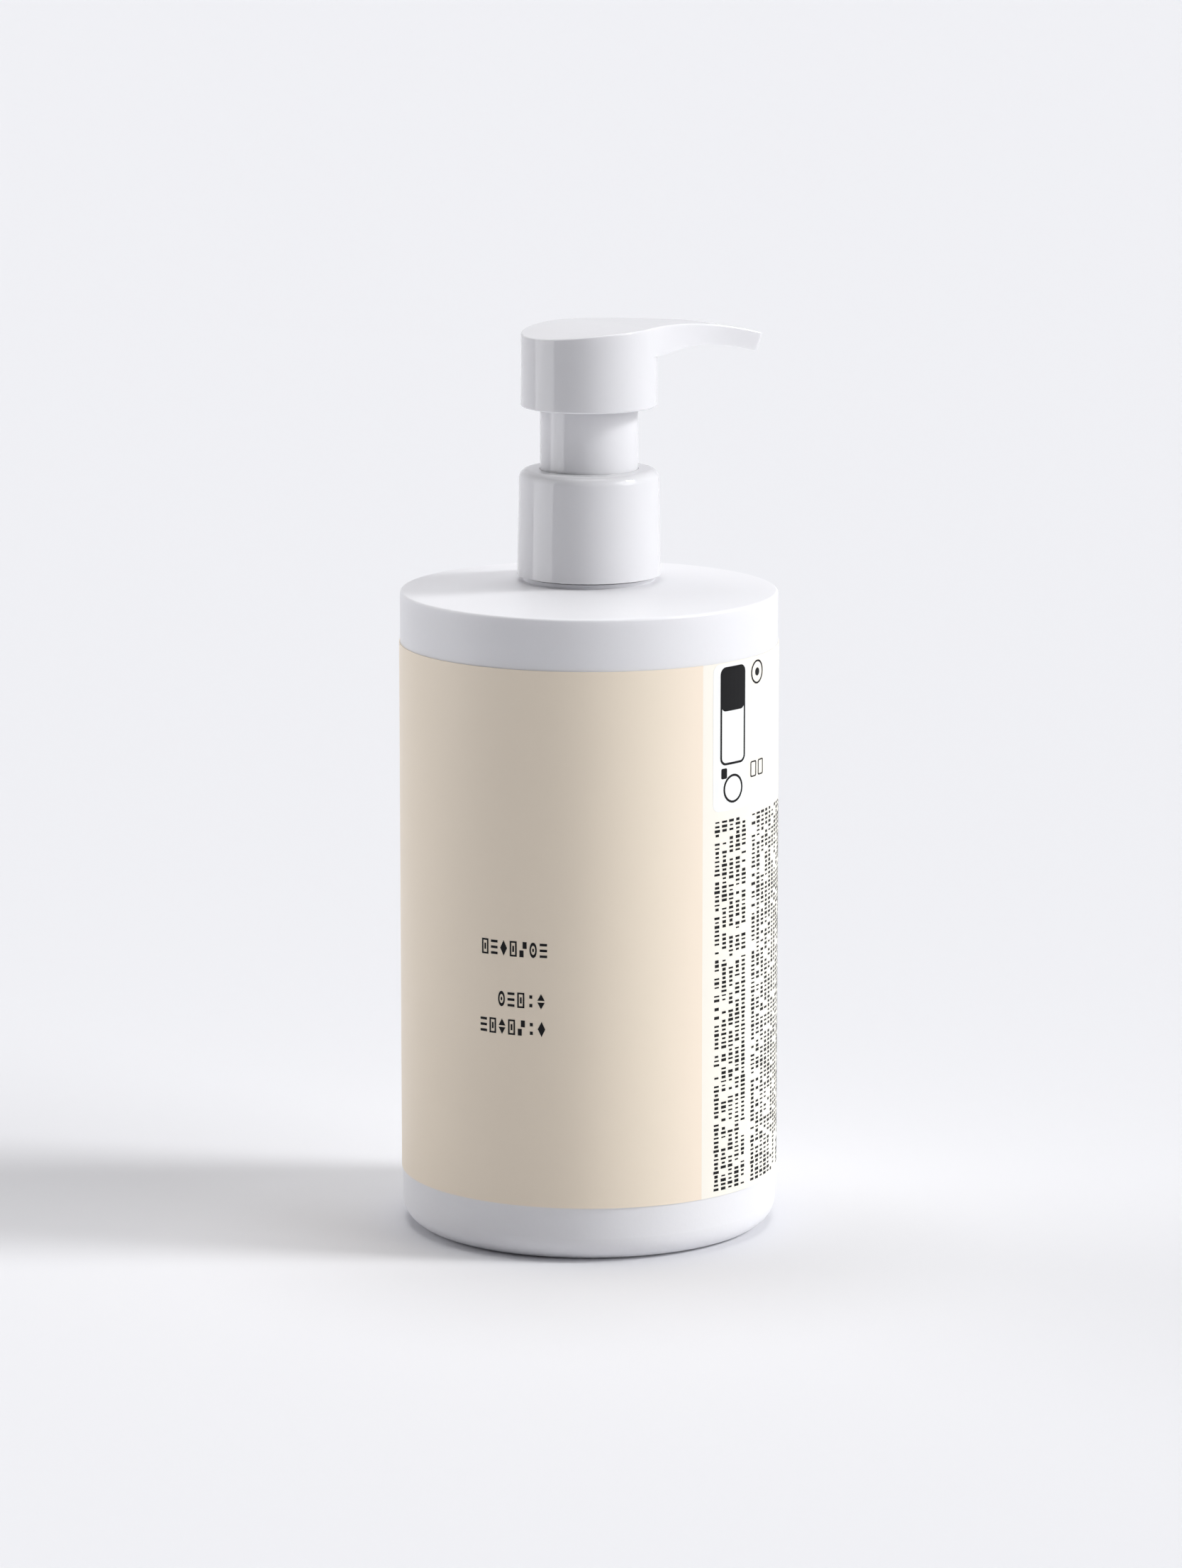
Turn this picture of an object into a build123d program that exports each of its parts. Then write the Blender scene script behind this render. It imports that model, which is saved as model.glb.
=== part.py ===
"""Shampoo bottle with a spring-returned lotion pump, one STEP file for each physical piece.

Millimetres, +Z up. The origin is the centre of the bottle's base on the floor, and the nozzle points
along +X. The pump stands at the top of its stroke.
"""

import os
from math import cos, radians, sin, sqrt, tan

from build123d import *

# Bottle body: a plain cylinder with a shallow conical shoulder and a pushed-up base.
BODY_RADIUS = 38.0
BODY_HEIGHT = 129.8
BODY_WALL = 1.3
BASE_CORNER = 5.0
BASE_RING_WIDTH = 6.0
BASE_PUSH_UP = 1.8
BASE_RAMP = 3.0
SHOULDER_EDGE = 0.6
SHOULDER_RISE = 2.1

# Bottle neck: a support bead under a 24 mm finish with one and a half turns of thread.
BEAD_WIDTH = 2.5
BEAD_HEIGHT = 0.7
NECK_HEIGHT = 16.6
NECK_RADIUS = 10.7
NECK_WALL = 2.2
THREAD_DEPTH = 1.15
THREAD_PITCH = 3.175
THREAD_TURNS = 1.5
THREAD_CREST_WIDTH = 0.7
THREAD_FLANK_ANGLE = 20.0
THREAD_START_BELOW_RIM = 2.2
THREAD_CLEARANCE = 0.3
THREAD_ROOT_SINK = 0.3

# Wrap label, a thin skin on the body.
LABEL_THICKNESS = 0.18
LABEL_BOTTOM = 11.3
LABEL_TOP_MARGIN = 10.4
LABEL_GAP = 0.02

# Screw collar: smooth outside with a little mould draft.
COLLAR_GAP = 0.4
COLLAR_FOOT_WALL = 2.25
COLLAR_WALL = 1.8
COLLAR_TOP_WALL = 1.4
COLLAR_EDGE = 1.9
COLLAR_RUNNING_CLEARANCE = 0.08

# Stack of flanges that the collar pulls down on the neck's rim.
GASKET_THICKNESS = 1.0
FLANGE_THICKNESS = 1.3
FLANGE_SIDE_CLEARANCE = 0.35
FLANGE_TOP_CLEARANCE = 0.1

# Guide sleeve: the fixed tube that the head slides over.
SLEEVE_RADIUS = 9.85
SLEEVE_WALL = 1.45
SLEEVE_TOP_GAP = 0.35
SLEEVE_FLOOR = 1.5
SLEEVE_PLUG_LENGTH = 4.0
SLEEVE_PLUG_WALL = 1.2

# Pump housing: the cylinder that hangs in the bottle.
HOUSING_NECK_CLEARANCE = 0.85
HOUSING_WALL = 1.05
HOUSING_FOOT_CLEARANCE = 4.45
HOUSING_CONE_HEIGHT = 3.0
SEAT_ANGLE = 40.0
PASSAGE_RADIUS = 1.6
PASSAGE_LENGTH = 1.5
SOCKET_LENGTH = 9.0
SOCKET_WALL = 1.0

# Inlet ball and the ribs that cage it.
BALL_RADIUS = 2.5
BALL_LIFT = 1.5
BALL_SEAT_GAP = 0.03
CAGE_RIBS = 4
CAGE_RIB_THICKNESS = 1.0
CAGE_RIB_DEPTH = 1.0
CAGE_SIDE_CLEARANCE = 0.3
CAGE_HOOK_RADIUS = 1.7
CAGE_HOOK_HEIGHT = 1.0
CAGE_HOOK_CLEARANCE = 0.3

# Dip tube.
TUBE_RADIUS = 2.6
TUBE_WALL = 0.7
TUBE_FOOT_GAP = 3.0
TUBE_INSERTION = 8.0
TUBE_FOOT_ANGLE = 30.0

# Stem, piston and the plug that closes the stem's foot.
STROKE = 11.6
STEM_RADIUS = 3.5
STEM_WALL = 1.1
STEM_RUNNING_CLEARANCE = 0.08
STEM_STOP_CLEARANCE = 0.68
STEM_STOP_HEIGHT = 1.5
STOP_GAP = 0.3
PISTON_HEIGHT = 9.0
PISTON_WAIST_WALL = 1.2
PISTON_CHAMBER_GAP = 0.8
PISTON_SEAL_LENGTH = 2.2
PISTON_LIP_BAND = 0.6
PISTON_LIP_TAPER = 1.6
PISTON_BORE_CLEARANCE = 0.05
PISTON_STEM_CLEARANCE = 0.05
PLUG_SIDE_GAP = 1.7
PLUG_HEIGHT = 2.4
PLUG_SHANK_LENGTH = 4.0
PLUG_SEAT_GAP = 0.25
PORT_RADIUS = 0.8
PORT_COUNT = 4
PORT_ABOVE_SHANK = 1.2

# Radial clearance of pieces that are pressed together and don't move.
PUSH_FIT = 0.02

# Return spring, round wire.
SPRING_HUB_GAP = 0.55
SPRING_WIRE_RADIUS = 0.55
SPRING_TURNS = 8.0
SPRING_END_GAP = 0.1

# Pump head: round cap, open skirt, and a nozzle that droops towards its tip.
HEAD_SLEEVE_GAP = 2.5
HEAD_FOOT_GAP = 1.0
HEAD_SKIRT_DRAFT = 0.08
HEAD_SKIRT_WALL = 1.25
HEAD_SKIRT_EDGE = 0.4
HEAD_SLEEVE_OVERLAP = 0.45
HEAD_TOP_WALL = 1.7
HEAD_CREST_X = 10.0
HEAD_CREST_RISE = 2.0
HEAD_CREASE = 0.35
HUB_WALL = 1.4
HUB_LENGTH = 12.0
STEM_INSERTION = 9.0
NOZZLE_REACH = 39.0
NOZZLE_HALF_WIDTH = 3.1
NOZZLE_STRAIGHT = 6.5
NOZZLE_ROOT_DROP = 3.8
NOZZLE_BELLY_RISE = 0.75
NOZZLE_TIP_DROP = 3.5
NOZZLE_TIP_DEPTH = 3.8
NOZZLE_TIP_SLANT = 20.0
NOZZLE_TIP_CORNER = 0.8
CHANNEL_RADIUS = 1.1
CHANNEL_FLOOR = 0.5

# Heights and radii that follow from the sizes above.
LABEL_TOP = BODY_HEIGHT - LABEL_TOP_MARGIN
SHOULDER_TOP = BODY_HEIGHT + SHOULDER_RISE
BEAD_TOP = SHOULDER_TOP + BEAD_HEIGHT
RIM = BEAD_TOP + NECK_HEIGHT
BEAD_RADIUS = NECK_RADIUS + BEAD_WIDTH
NECK_BORE_RADIUS = NECK_RADIUS - NECK_WALL
GASKET_TOP = RIM + GASKET_THICKNESS
FLANGE_TOP = GASKET_TOP + FLANGE_THICKNESS
SLEEVE_FLANGE_TOP = FLANGE_TOP + FLANGE_THICKNESS
COLLAR_BOTTOM = BEAD_TOP + COLLAR_GAP
COLLAR_CEILING = SLEEVE_FLANGE_TOP + FLANGE_TOP_CLEARANCE
COLLAR_TOP = COLLAR_CEILING + COLLAR_TOP_WALL
COLLAR_BORE_RADIUS = NECK_RADIUS + THREAD_DEPTH + FLANGE_SIDE_CLEARANCE
COLLAR_BOTTOM_RADIUS = COLLAR_BORE_RADIUS + COLLAR_FOOT_WALL
COLLAR_TOP_RADIUS = COLLAR_BORE_RADIUS + COLLAR_WALL
FLANGE_RADIUS = COLLAR_BORE_RADIUS - FLANGE_SIDE_CLEARANCE
HOUSING_TUBE_RADIUS = NECK_BORE_RADIUS - HOUSING_NECK_CLEARANCE
HOUSING_BORE_RADIUS = HOUSING_TUBE_RADIUS - HOUSING_WALL
HEAD_RADIUS = SLEEVE_RADIUS + HEAD_SLEEVE_GAP + HEAD_SKIRT_WALL
HEAD_BOTTOM = COLLAR_TOP + STROKE + HEAD_FOOT_GAP
HEAD_CEILING = HEAD_BOTTOM + HEAD_SLEEVE_OVERLAP + SLEEVE_TOP_GAP + STROKE
HEAD_HEEL = HEAD_CEILING + HEAD_TOP_WALL
HEAD_CREST = HEAD_HEEL + HEAD_CREST_RISE
HEAD_ROOT = HEAD_HEEL - NOZZLE_ROOT_DROP
HUB_RADIUS = STEM_RADIUS + HUB_WALL
HUB_BOTTOM = HEAD_CEILING - HUB_LENGTH
SPRING_RADIUS = HUB_RADIUS + SPRING_HUB_GAP + SPRING_WIRE_RADIUS
NOZZLE_FLANK_END = NOZZLE_REACH - NOZZLE_STRAIGHT
SLEEVE_FLOOR_TOP = FLANGE_TOP + SLEEVE_FLOOR
SLEEVE_TOP = HEAD_CEILING - STROKE - SLEEVE_TOP_GAP
SLEEVE_PLUG_BOTTOM = FLANGE_TOP - SLEEVE_PLUG_LENGTH
SLEEVE_PLUG_BORE_RADIUS = HOUSING_BORE_RADIUS - PUSH_FIT - SLEEVE_PLUG_WALL
STEM_TOP = HUB_BOTTOM + STEM_INSERTION
STEM_BORE_RADIUS = STEM_RADIUS - STEM_WALL
PISTON_TOP = SLEEVE_PLUG_BOTTOM - STOP_GAP
PISTON_BOTTOM = PISTON_TOP - PISTON_HEIGHT
PISTON_CHAMBER_RADIUS = STEM_RADIUS + PISTON_CHAMBER_GAP
PLUG_TOP = PISTON_BOTTOM - PLUG_SEAT_GAP
PLUG_BOTTOM = PLUG_TOP - PLUG_HEIGHT
CYLINDER_BOTTOM = PLUG_BOTTOM - STROKE - HOUSING_FOOT_CLEARANCE
CHAMBER_TOP = CYLINDER_BOTTOM - HOUSING_CONE_HEIGHT
CHAMBER_RADIUS = BALL_RADIUS + CAGE_SIDE_CLEARANCE + CAGE_RIB_DEPTH
SEAT_SLOPE = radians(SEAT_ANGLE)
BALL_ABOVE_SEAT = (BALL_RADIUS + BALL_SEAT_GAP) / sin(SEAT_SLOPE) - PASSAGE_RADIUS / tan(SEAT_SLOPE)
HOOK_ABOVE_BALL = BALL_LIFT + sqrt(BALL_RADIUS**2 - CAGE_HOOK_RADIUS**2) + CAGE_HOOK_CLEARANCE
SEAT_BOTTOM = CHAMBER_TOP - BALL_ABOVE_SEAT - HOOK_ABOVE_BALL - CAGE_HOOK_HEIGHT
SOCKET_TOP = SEAT_BOTTOM - PASSAGE_LENGTH
SOCKET_BOTTOM = SOCKET_TOP - SOCKET_LENGTH
BALL_CENTRE = SEAT_BOTTOM + BALL_ABOVE_SEAT


def turned(*points):
    """Solid of revolution about Z from the corners (radius, height) of its half section."""
    outline = Polyline(*[(r, 0, z) for r, z in points], close=True)
    return revolve(make_face(outline), Axis.Z)


def rod(radius, bottom, top):
    """Upright round bar about Z."""
    return Pos(0, 0, bottom) * Cylinder(radius, top - bottom, align=(Align.CENTER, Align.CENTER, Align.MIN))


def ring(outer, inner, bottom, top):
    """Upright round tube about Z."""
    return rod(outer, bottom, top) - rod(inner, bottom - 1, top + 1)


def around(count, piece):
    """Copies of a piece, evenly spaced about Z."""
    return [Rot(0, 0, 360 / count * i) * piece for i in range(count)]


def thread_ridge(root, crest, start_angle):
    """Helical ridge of trapezoid section between a root and a crest radius, of either hand of depth."""
    path = Helix(THREAD_PITCH, THREAD_PITCH * THREAD_TURNS, root)
    depth = crest - root
    half_crest = THREAD_CREST_WIDTH / 2
    half_root = half_crest + abs(depth) * tan(radians(THREAD_FLANK_ANGLE))
    section = Plane(origin=path @ 0, z_dir=path % 0, x_dir=(1, 0, 0)) * make_face(
        Polyline((0, -half_root), (depth, -half_crest), (depth, half_crest), (0, half_root), close=True)
    )
    bottom = RIM - THREAD_START_BELOW_RIM - THREAD_PITCH * THREAD_TURNS
    return Pos(0, 0, bottom) * Rot(0, 0, start_angle) * sweep(section, path=path, is_frenet=True)


def body_section(skin):
    """Half section of the bottle below its neck, drawn the given depth inside the outer surface."""
    wall = BODY_RADIUS - skin
    corner = BASE_CORNER - skin
    edge = SHOULDER_EDGE
    ring_inside = BODY_RADIUS - BASE_CORNER - BASE_RING_WIDTH
    top = BODY_HEIGHT - skin
    neck = NECK_BORE_RADIUS if skin else BEAD_RADIUS
    base = Polyline(
        (0, BASE_PUSH_UP + skin),
        (ring_inside - BASE_RAMP, BASE_PUSH_UP + skin),
        (ring_inside, skin),
        (BODY_RADIUS - BASE_CORNER, skin),
    )
    heel = CenterArc((BODY_RADIUS - BASE_CORNER, BASE_CORNER), corner, -90, 90)
    side = Line((wall, BASE_CORNER), (wall, top - edge))
    shoulder = CenterArc((wall - edge, top - edge), edge, 0, 90)
    crown = Polyline(
        (wall - edge, top), (neck, SHOULDER_TOP - skin), (0, SHOULDER_TOP - skin), (0, BASE_PUSH_UP + skin)
    )
    return Plane.XZ * make_face(Curve() + [base, heel, side, shoulder, crown])


def bottle():
    """Blow-moulded bottle: body, support bead and threaded neck, open at the mouth."""
    outside = revolve(body_section(0), Axis.Z)
    cavity = revolve(body_section(BODY_WALL), Axis.Z)
    bead = rod(BEAD_RADIUS, SHOULDER_TOP - BODY_WALL, BEAD_TOP)
    neck = rod(NECK_RADIUS, SHOULDER_TOP - BODY_WALL, RIM)
    ridge = thread_ridge(NECK_RADIUS - THREAD_ROOT_SINK, NECK_RADIUS + THREAD_DEPTH, 0)
    mouth = rod(NECK_BORE_RADIUS, SHOULDER_TOP - 2 * BODY_WALL, RIM + 1)
    return (outside - cavity) + bead + neck + ridge - mouth


def wrap_label():
    """Printed film wrapped once round the body."""
    inner = BODY_RADIUS + LABEL_GAP
    return ring(inner + LABEL_THICKNESS, inner, LABEL_BOTTOM, LABEL_TOP)


def screw_collar():
    """Closure: drafted outside with a round top edge, one internal thread ridge and a hole for the sleeve."""
    shell = turned(
        (0, COLLAR_BOTTOM), (COLLAR_BOTTOM_RADIUS, COLLAR_BOTTOM), (COLLAR_TOP_RADIUS, COLLAR_TOP), (0, COLLAR_TOP)
    )
    shell = fillet(shell.edges().sort_by(Axis.Z)[-1], COLLAR_EDGE)
    shell -= rod(COLLAR_BORE_RADIUS, COLLAR_BOTTOM - 1, COLLAR_CEILING)
    shell -= rod(SLEEVE_RADIUS + COLLAR_RUNNING_CLEARANCE, COLLAR_CEILING - 1, COLLAR_TOP + 1)
    ridge = thread_ridge(COLLAR_BORE_RADIUS + THREAD_ROOT_SINK, NECK_RADIUS + THREAD_CLEARANCE, 180)
    return shell + ridge


def neck_gasket():
    """Flat sealing ring on the bottle's rim."""
    return ring(FLANGE_RADIUS, NECK_BORE_RADIUS, RIM, GASKET_TOP)


def guide_sleeve():
    """Fixed chaplet: standing tube, flange under the collar, floor for the spring and plug in the housing."""
    tube = ring(SLEEVE_RADIUS, SLEEVE_RADIUS - SLEEVE_WALL, FLANGE_TOP, SLEEVE_TOP)
    flange = rod(FLANGE_RADIUS, FLANGE_TOP, SLEEVE_FLANGE_TOP)
    floor = rod(SLEEVE_RADIUS, FLANGE_TOP, SLEEVE_FLOOR_TOP)
    plug = ring(HOUSING_BORE_RADIUS - PUSH_FIT, SLEEVE_PLUG_BORE_RADIUS, SLEEVE_PLUG_BOTTOM, FLANGE_TOP)
    stem_hole = rod(STEM_RADIUS + STEM_RUNNING_CLEARANCE, FLANGE_TOP - 1, SLEEVE_FLOOR_TOP + 1)
    return tube + flange + floor + plug - stem_hole


def pump_housing():
    """Cylinder with its rim flange, the caged seat of the inlet ball and the socket of the dip tube."""
    chamber_outside = CHAMBER_RADIUS + HOUSING_WALL
    socket_bore = TUBE_RADIUS + PUSH_FIT
    seat_top = SEAT_BOTTOM + (CHAMBER_RADIUS - PASSAGE_RADIUS) / tan(SEAT_SLOPE)
    shell = turned(
        (HOUSING_BORE_RADIUS, FLANGE_TOP),
        (FLANGE_RADIUS, FLANGE_TOP),
        (FLANGE_RADIUS, GASKET_TOP),
        (HOUSING_TUBE_RADIUS, GASKET_TOP),
        (HOUSING_TUBE_RADIUS, CYLINDER_BOTTOM),
        (chamber_outside, CHAMBER_TOP),
        (chamber_outside, SOCKET_TOP),
        (socket_bore + SOCKET_WALL, SOCKET_TOP - SOCKET_WALL),
        (socket_bore + SOCKET_WALL, SOCKET_BOTTOM),
        (socket_bore, SOCKET_BOTTOM),
        (socket_bore, SOCKET_TOP),
        (PASSAGE_RADIUS, SOCKET_TOP),
        (PASSAGE_RADIUS, SEAT_BOTTOM),
        (CHAMBER_RADIUS, seat_top),
        (CHAMBER_RADIUS, CHAMBER_TOP),
        (HOUSING_BORE_RADIUS, CYLINDER_BOTTOM),
    )
    rib_inside = BALL_RADIUS + CAGE_SIDE_CLEARANCE
    rib_outside = CHAMBER_RADIUS + HOUSING_WALL / 2
    hook_bottom = BALL_CENTRE + HOOK_ABOVE_BALL
    corner = (Align.MIN, Align.CENTER, Align.MIN)
    rib = Pos(rib_inside, 0, SEAT_BOTTOM) * Box(
        rib_outside - rib_inside, CAGE_RIB_THICKNESS, CHAMBER_TOP - SEAT_BOTTOM, align=corner
    )
    hook = Pos(CAGE_HOOK_RADIUS, 0, hook_bottom) * Box(
        rib_outside - CAGE_HOOK_RADIUS, CAGE_RIB_THICKNESS, CAGE_HOOK_HEIGHT, align=corner
    )
    for cage_rib in around(CAGE_RIBS, rib + hook):
        shell += cage_rib
    return shell


def inlet_ball():
    """Suction check ball, resting on its conical seat."""
    return Pos(0, 0, BALL_CENTRE) * Sphere(BALL_RADIUS)


def dip_tube():
    """Straight tube from the housing's socket to just above the bottle's floor, cut at a slant."""
    foot = BASE_PUSH_UP + BODY_WALL + TUBE_FOOT_GAP
    tube = ring(TUBE_RADIUS, TUBE_RADIUS - TUBE_WALL, foot, SOCKET_BOTTOM + TUBE_INSERTION)
    slant = 4 * TUBE_RADIUS
    cut = Pos(-TUBE_RADIUS, 0, foot) * Rot(0, TUBE_FOOT_ANGLE, 0) * Box(
        2 * slant, slant, slant, align=(Align.CENTER, Align.CENTER, Align.MAX)
    )
    return tube - Rot(0, 0, 180) * cut


def pump_stem():
    """Hollow stem: pressed into the hub, with a stop under the sleeve's floor and ports above the plug."""
    stem = rod(STEM_RADIUS, PLUG_TOP, STEM_TOP)
    stop_top = FLANGE_TOP - STOP_GAP
    stop = rod(SLEEVE_PLUG_BORE_RADIUS - STEM_STOP_CLEARANCE, stop_top - STEM_STOP_HEIGHT, stop_top)
    bore = rod(STEM_BORE_RADIUS, PLUG_TOP - 1, STEM_TOP + 1)
    stem = stem + stop - bore
    port_height = PLUG_TOP + PLUG_SHANK_LENGTH + PORT_ABOVE_SHANK
    port = Pos(0, 0, port_height) * Rot(0, 90, 0) * Cylinder(
        PORT_RADIUS, 2 * STEM_RADIUS, align=(Align.CENTER, Align.CENTER, Align.MIN)
    )
    for hole in around(PORT_COUNT, port):
        stem -= hole
    return stem


def stem_plug():
    """Plug pressed into the stem's foot; its head is the seat that the piston shuts on."""
    head = rod(HOUSING_BORE_RADIUS - PLUG_SIDE_GAP, PLUG_BOTTOM, PLUG_TOP)
    shank = rod(STEM_BORE_RADIUS - PUSH_FIT, PLUG_BOTTOM, PLUG_TOP + PLUG_SHANK_LENGTH)
    return head + shank


def piston():
    """Sliding piston: a waist with two flared lips, sealed on the stem at its top."""
    lip = HOUSING_BORE_RADIUS - PISTON_BORE_CLEARANCE
    waist = PISTON_CHAMBER_RADIUS + PISTON_WAIST_WALL
    seal = STEM_RADIUS + PISTON_STEM_CLEARANCE
    flare = PISTON_LIP_BAND + PISTON_LIP_TAPER
    return turned(
        (PISTON_CHAMBER_RADIUS, PISTON_BOTTOM),
        (lip, PISTON_BOTTOM),
        (lip, PISTON_BOTTOM + PISTON_LIP_BAND),
        (waist, PISTON_BOTTOM + flare),
        (waist, PISTON_TOP - flare),
        (lip, PISTON_TOP - PISTON_LIP_BAND),
        (lip, PISTON_TOP),
        (seal, PISTON_TOP),
        (seal, PISTON_TOP - PISTON_SEAL_LENGTH),
        (PISTON_CHAMBER_RADIUS, PISTON_TOP - PISTON_SEAL_LENGTH),
    )


def return_spring():
    """Compression spring round the hub, between the sleeve's floor and the head's ceiling."""
    bottom = SLEEVE_FLOOR_TOP + SPRING_END_GAP + SPRING_WIRE_RADIUS
    top = HEAD_CEILING - SPRING_END_GAP - SPRING_WIRE_RADIUS
    path = Helix((top - bottom) / SPRING_TURNS, top - bottom, SPRING_RADIUS)
    section = Plane(origin=path @ 0, z_dir=path % 0) * Circle(SPRING_WIRE_RADIUS)
    return Pos(0, 0, bottom) * sweep(section, path=path, is_frenet=True)


def head_plan():
    """Plan of the head: a circle that runs through two concave flanks into the straight nozzle."""
    half = NOZZLE_HALF_WIDTH
    flank = (NOZZLE_FLANK_END**2 - HEAD_RADIUS**2 + half**2) / (2 * (HEAD_RADIUS - half))
    reach = HEAD_RADIUS / (HEAD_RADIUS + flank)
    touch = (NOZZLE_FLANK_END * reach, (half + flank) * reach)
    tip = NOZZLE_REACH + 1
    side = Polyline((touch[0], touch[1]), (0, 0), (tip, 0), (tip, half), (NOZZLE_FLANK_END, half))
    hollow = RadiusArc((touch[0], touch[1]), (NOZZLE_FLANK_END, half), -flank)
    flank_half = make_face(Curve() + [side, hollow])
    return Circle(HEAD_RADIUS) + flank_half + mirror(flank_half, Plane.XZ)


def head_side():
    """Side view of the head's top and nozzle: arched crown, slanted tip and hollow underside."""
    back = -HEAD_RADIUS - 1
    tip_top = (NOZZLE_REACH, HEAD_CREST - NOZZLE_TIP_DROP)
    slant = radians(NOZZLE_TIP_SLANT)
    tip_foot = (tip_top[0] - NOZZLE_TIP_DEPTH * sin(slant), tip_top[1] - NOZZLE_TIP_DEPTH * cos(slant))
    crown = Spline((back, HEAD_HEEL), (HEAD_CREST_X, HEAD_CREST), tip_top, tangents=[(1, 0.2), (1, -0.3)])
    belly = ThreePointArc(
        tip_foot, ((HEAD_RADIUS + tip_foot[0]) / 2, HEAD_ROOT + NOZZLE_BELLY_RISE), (HEAD_RADIUS, HEAD_ROOT)
    )
    back_edge = Polyline((HEAD_RADIUS, HEAD_ROOT), (back, HEAD_ROOT), (back, HEAD_HEEL))
    return Plane.XZ * make_face(Curve() + [crown, Line(tip_top, tip_foot), belly, back_edge])


def channel_path():
    """Centre line of the outlet: level from the hub, then bent down to leave the tip square to its face."""
    height = HEAD_CEILING + CHANNEL_FLOOR + CHANNEL_RADIUS
    slant = radians(NOZZLE_TIP_SLANT)
    tip_x = NOZZLE_REACH - NOZZLE_TIP_DEPTH / 2 * sin(slant)
    tip_z = HEAD_CREST - NOZZLE_TIP_DROP - NOZZLE_TIP_DEPTH / 2 * cos(slant)
    bend = (height - tip_z) / (1 - cos(slant))
    bend_start = (tip_x - bend * sin(slant), height)
    level = Line((0, height), bend_start)
    droop = JernArc(bend_start, (1, 0), bend, -NOZZLE_TIP_SLANT)
    way_out = Line(droop @ 1, droop @ 1 + Vector(cos(slant), -sin(slant)))
    return Plane.XZ * (Curve() + [level, droop, way_out])


def pump_head():
    """Actuator: arched teardrop top drawn out into the nozzle, open skirt, hub for the stem, outlet channel."""
    low = HEAD_ROOT - 2 * NOZZLE_TIP_DEPTH
    plan = Pos(0, 0, low) * extrude(head_plan(), HEAD_CREST + NOZZLE_TIP_DEPTH - low)
    crown = plan & Pos(0, 2 * HEAD_RADIUS, 0) * extrude(head_side(), 4 * HEAD_RADIUS)
    tip = crown.faces().sort_by(Axis.X)[-1]
    crown = fillet(tip.edges().sort_by(Axis.Y)[0:1] + tip.edges().sort_by(Axis.Y)[-1:], NOZZLE_TIP_CORNER)
    top = crown.faces().sort_by(Axis.Z)[-1]
    crown = fillet(top.edges(), HEAD_CREASE)
    foot_radius = HEAD_RADIUS + HEAD_SKIRT_DRAFT
    skirt = turned((0, HEAD_BOTTOM), (foot_radius, HEAD_BOTTOM), (HEAD_RADIUS, HEAD_ROOT), (0, HEAD_ROOT))
    skirt = fillet(skirt.edges().sort_by(Axis.Z)[0], HEAD_SKIRT_EDGE)
    shell = crown + skirt - rod(HEAD_RADIUS - HEAD_SKIRT_WALL, HEAD_BOTTOM - 1, HEAD_CEILING)
    shell += rod(HUB_RADIUS, HUB_BOTTOM, HEAD_CEILING)
    shell -= rod(STEM_RADIUS + PUSH_FIT, HUB_BOTTOM - 1, STEM_TOP)
    path = channel_path()
    shell -= rod(STEM_BORE_RADIUS, STEM_TOP - 1, (path @ 0).Z)
    section = Plane(origin=path @ 0, z_dir=path % 0) * Circle(CHANNEL_RADIUS)
    return shell - sweep(section, path=path)


PIECES = [
    bottle,
    wrap_label,
    screw_collar,
    neck_gasket,
    guide_sleeve,
    pump_housing,
    inlet_ball,
    dip_tube,
    pump_stem,
    stem_plug,
    piston,
    return_spring,
    pump_head,
]

os.makedirs("parts", exist_ok=True)
for piece in PIECES:
    export_step(piece(), f"parts/{piece.__name__}.step")
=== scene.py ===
from math import cos, pi, radians, sin

import bmesh
import bpy
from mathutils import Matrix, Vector


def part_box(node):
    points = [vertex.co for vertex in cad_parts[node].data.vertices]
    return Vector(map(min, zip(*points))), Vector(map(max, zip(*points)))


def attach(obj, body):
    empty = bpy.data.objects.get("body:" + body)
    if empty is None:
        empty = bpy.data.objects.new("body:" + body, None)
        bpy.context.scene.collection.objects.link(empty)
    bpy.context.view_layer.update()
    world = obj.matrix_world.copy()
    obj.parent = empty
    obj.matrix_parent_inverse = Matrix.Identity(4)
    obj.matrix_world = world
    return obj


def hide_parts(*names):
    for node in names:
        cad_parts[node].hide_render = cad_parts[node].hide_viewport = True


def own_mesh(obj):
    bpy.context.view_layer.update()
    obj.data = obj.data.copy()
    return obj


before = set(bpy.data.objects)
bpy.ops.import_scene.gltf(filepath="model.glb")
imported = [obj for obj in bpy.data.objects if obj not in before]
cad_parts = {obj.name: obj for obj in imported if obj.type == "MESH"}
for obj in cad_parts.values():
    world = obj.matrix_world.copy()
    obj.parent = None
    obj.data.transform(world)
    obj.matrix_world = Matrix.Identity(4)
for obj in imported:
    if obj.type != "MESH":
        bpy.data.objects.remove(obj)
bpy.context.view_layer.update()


# ---------------------------------------------------------------------------------------------
# Studio. One seamless pale table, seen from above the pump's height through a long lens. Broad
# lamps stand on the right, overhead and behind on the left, and a lit card close on the left puts
# the crisp upright streak on the gloss parts.
# ---------------------------------------------------------------------------------------------

bottle_low, bottle_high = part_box("bottle")

lens_length = 149.2
sensor_width = 36
lens_distance = 1.290
lens_height = 0.3357
lens_azimuth = radians(-30)
aim_height = 0.0899
aim_aside = 0.0004

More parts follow.
